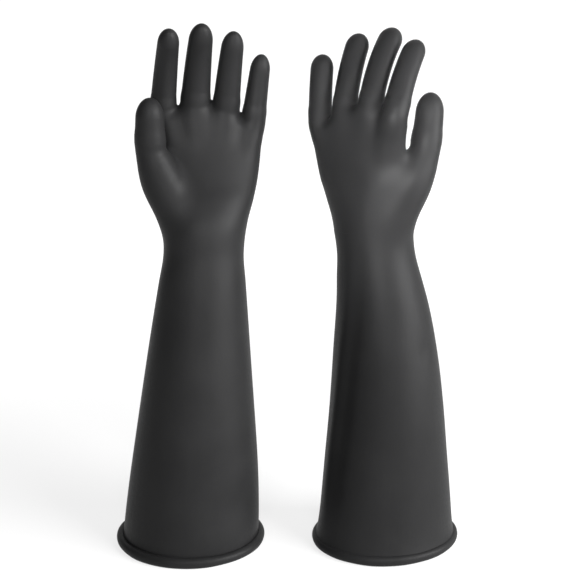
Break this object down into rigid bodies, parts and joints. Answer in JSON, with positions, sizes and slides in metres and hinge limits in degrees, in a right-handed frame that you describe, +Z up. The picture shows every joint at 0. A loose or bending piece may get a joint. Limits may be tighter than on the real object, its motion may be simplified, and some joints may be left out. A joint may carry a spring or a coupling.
{
  "type": "electrical insulating gloves",
  "caption": "Pair of long seamless rubber gauntlet gloves with flared sleeves and rolled cuff beads, standing upright, that insulate the hands and forearms during work on live circuits",
  "frame": {"origin": "centre of the rectangle the pair stands in, on the surface under the cuffs", "axes": "+Z up along the gloves, +X from the glove that shows its palm to the glove that shows its back, +Y away from the viewer"},
  "size_m": [0.3152, 0.1352, 0.4602],
  "materials": {
    "black_rubber": "satin"
  },
  "bodies": {
    "glove_a_sleeve": {"glove_a_cuff_bead": "black_rubber", "glove_a_sleeve": "black_rubber"},
    "glove_a_hand": {"glove_a_hand": "black_rubber"},
    "glove_a_thumb_base": {"glove_a_thumb_base": "black_rubber"},
    "glove_a_thumb_tip": {"glove_a_thumb_tip": "black_rubber"},
    "glove_a_index_base": {"glove_a_index_base": "black_rubber"},
    "glove_a_index_tip": {"glove_a_index_tip": "black_rubber"},
    "glove_a_middle_base": {"glove_a_middle_base": "black_rubber"},
    "glove_a_middle_tip": {"glove_a_middle_tip": "black_rubber"},
    "glove_a_ring_base": {"glove_a_ring_base": "black_rubber"},
    "glove_a_ring_tip": {"glove_a_ring_tip": "black_rubber"},
    "glove_a_little_base": {"glove_a_little_base": "black_rubber"},
    "glove_a_little_tip": {"glove_a_little_tip": "black_rubber"},
    "glove_b_sleeve": {"glove_b_cuff_bead": "black_rubber", "glove_b_sleeve": "black_rubber"},
    "glove_b_hand": {"glove_b_hand": "black_rubber"},
    "glove_b_thumb_base": {"glove_b_thumb_base": "black_rubber"},
    "glove_b_thumb_tip": {"glove_b_thumb_tip": "black_rubber"},
    "glove_b_index_base": {"glove_b_index_base": "black_rubber"},
    "glove_b_index_tip": {"glove_b_index_tip": "black_rubber"},
    "glove_b_middle_base": {"glove_b_middle_base": "black_rubber"},
    "glove_b_middle_tip": {"glove_b_middle_tip": "black_rubber"},
    "glove_b_ring_base": {"glove_b_ring_base": "black_rubber"},
    "glove_b_ring_tip": {"glove_b_ring_tip": "black_rubber"},
    "glove_b_little_base": {"glove_b_little_base": "black_rubber"},
    "glove_b_little_tip": {"glove_b_little_tip": "black_rubber"}
  },
  "joints": [
    {"name": "glove_a_wrist", "type": "hinge", "parent": "glove_a_sleeve", "child": "glove_a_hand", "pos_m": [-0.07242, 0.00107, 0.266], "axis": [0.9848, 0.1736, 0], "range_deg": [-20, 20], "stiffness_Nm_per_rad": 4},
    {"name": "glove_a_thumb_root", "type": "hinge", "parent": "glove_a_hand", "child": "glove_a_thumb_base", "pos_m": [-0.10131, -0.009, 0.35689], "axis": [0.3368, -0.9254, -0.1736], "range_deg": [-18, 8], "stiffness_Nm_per_rad": 0.4},
    {"name": "glove_a_thumb_middle", "type": "hinge", "parent": "glove_a_thumb_base", "child": "glove_a_thumb_tip", "pos_m": [-0.10184, -0.01348, 0.37972], "axis": [0.3368, -0.9254, -0.1736], "range_deg": [-35, 8], "stiffness_Nm_per_rad": 0.25},
    {"name": "glove_a_index_knuckle", "type": "hinge", "parent": "glove_a_hand", "child": "glove_a_index_base", "pos_m": [-0.10448, 0.00658, 0.38566], "axis": [0.9835, 0.1734, -0.0523], "range_deg": [-8, 18], "stiffness_Nm_per_rad": 0.3},
    {"name": "glove_a_index_middle", "type": "hinge", "parent": "glove_a_index_base", "child": "glove_a_index_tip", "pos_m": [-0.10065, -0.00544, 0.41784], "axis": [0.9835, 0.1734, -0.0523], "range_deg": [-8, 45], "stiffness_Nm_per_rad": 0.15},
    {"name": "glove_a_middle_knuckle", "type": "hinge", "parent": "glove_a_hand", "child": "glove_a_middle_base", "pos_m": [-0.0772, 0.00593, 0.38845], "axis": [0.9845, 0.1736, -0.0262], "range_deg": [-8, 60], "stiffness_Nm_per_rad": 0.3},
    {"name": "glove_a_middle_middle", "type": "hinge", "parent": "glove_a_middle_base", "child": "glove_a_middle_tip", "pos_m": [-0.07422, -0.00584, 0.42244], "axis": [0.9845, 0.1736, -0.0262], "range_deg": [-8, 55], "stiffness_Nm_per_rad": 0.15},
    {"name": "glove_a_ring_knuckle", "type": "hinge", "parent": "glove_a_hand", "child": "glove_a_ring_base", "pos_m": [-0.05128, 0.00996, 0.38528], "axis": [0.9835, 0.1734, -0.0523], "range_deg": [-8, 60], "stiffness_Nm_per_rad": 0.3},
    {"name": "glove_a_ring_middle", "type": "hinge", "parent": "glove_a_ring_base", "child": "glove_a_ring_tip", "pos_m": [-0.04776, -0.00017, 0.41798], "axis": [0.9835, 0.1734, -0.0523], "range_deg": [-8, 55], "stiffness_Nm_per_rad": 0.15},
    {"name": "glove_a_little_knuckle", "type": "hinge", "parent": "glove_a_hand", "child": "glove_a_little_base", "pos_m": [-0.02781, 0.0169, 0.37758], "axis": [0.9811, 0.173, -0.0872], "range_deg": [-8, 60], "stiffness_Nm_per_rad": 0.25},
    {"name": "glove_a_little_middle", "type": "hinge", "parent": "glove_a_little_base", "child": "glove_a_little_tip", "pos_m": [-0.02475, 0.01351, 0.40539], "axis": [0.9811, 0.173, -0.0872], "range_deg": [-8, 55], "stiffness_Nm_per_rad": 0.12},
    {"name": "glove_b_wrist", "type": "hinge", "parent": "glove_b_sleeve", "child": "glove_b_hand", "pos_m": [0.07681, 0.01168, 0.266], "axis": [-0.8192, 0.5736, 0], "range_deg": [-20, 20], "stiffness_Nm_per_rad": 4},
    {"name": "glove_b_thumb_root", "type": "hinge", "parent": "glove_b_hand", "child": "glove_b_thumb_base", "pos_m": [0.10436, -0.00163, 0.35689], "axis": [0.4162, 0.8925, -0.1736], "range_deg": [-18, 8], "stiffness_Nm_per_rad": 0.4},
    {"name": "glove_b_thumb_middle", "type": "hinge", "parent": "glove_b_thumb_base", "child": "glove_b_thumb_tip", "pos_m": [0.1079, 0.00116, 0.37972], "axis": [0.4162, 0.8925, -0.1736], "range_deg": [-35, 8], "stiffness_Nm_per_rad": 0.25},
    {"name": "glove_b_index_knuckle", "type": "hinge", "parent": "glove_b_hand", "child": "glove_b_index_base", "pos_m": [0.09559, -0.0149, 0.38566], "axis": [-0.818, 0.5728, -0.0523], "range_deg": [-8, 18], "stiffness_Nm_per_rad": 0.3},
    {"name": "glove_b_index_middle", "type": "hinge", "parent": "glove_b_index_base", "child": "glove_b_index_tip", "pos_m": [0.10138, -0.00368, 0.41784], "axis": [-0.818, 0.5728, -0.0523], "range_deg": [-8, 45], "stiffness_Nm_per_rad": 0.15},
    {"name": "glove_b_middle_knuckle", "type": "hinge", "parent": "glove_b_hand", "child": "glove_b_middle_base", "pos_m": [0.07676, 0.00486, 0.38845], "axis": [-0.8189, 0.5734, -0.0262], "range_deg": [-8, 60], "stiffness_Nm_per_rad": 0.3},
    {"name": "glove_b_middle_middle", "type": "hinge", "parent": "glove_b_middle_base", "child": "glove_b_middle_tip", "pos_m": [0.08297, 0.01529, 0.42244], "axis": [-0.8189, 0.5734, -0.0262], "range_deg": [-8, 55], "stiffness_Nm_per_rad": 0.15},
    {"name": "glove_b_ring_knuckle", "type": "hinge", "parent": "glove_b_hand", "child": "glove_b_ring_base", "pos_m": [0.05558, 0.02033, 0.38528], "axis": [-0.818, 0.5728, -0.0523], "range_deg": [-8, 60], "stiffness_Nm_per_rad": 0.3},
    {"name": "glove_b_ring_middle", "type": "hinge", "parent": "glove_b_ring_base", "child": "glove_b_ring_tip", "pos_m": [0.06025, 0.02999, 0.41798], "axis": [-0.818, 0.5728, -0.0523], "range_deg": [-8, 55], "stiffness_Nm_per_rad": 0.15},
    {"name": "glove_b_little_knuckle", "type": "hinge", "parent": "glove_b_hand", "child": "glove_b_little_base", "pos_m": [0.03408, 0.03202, 0.37758], "axis": [-0.816, 0.5714, -0.0872], "range_deg": [-8, 60], "stiffness_Nm_per_rad": 0.25},
    {"name": "glove_b_little_middle", "type": "hinge", "parent": "glove_b_little_base", "child": "glove_b_little_tip", "pos_m": [0.0343, 0.03658, 0.40539], "axis": [-0.816, 0.5714, -0.0872], "range_deg": [-8, 55], "stiffness_Nm_per_rad": 0.12},
    {"name": "glove_b_apart", "type": "slide", "parent": "glove_a_sleeve", "child": "glove_b_sleeve", "axis": [1, 0, 0], "range_m": [0, 0.12]}
  ]
}
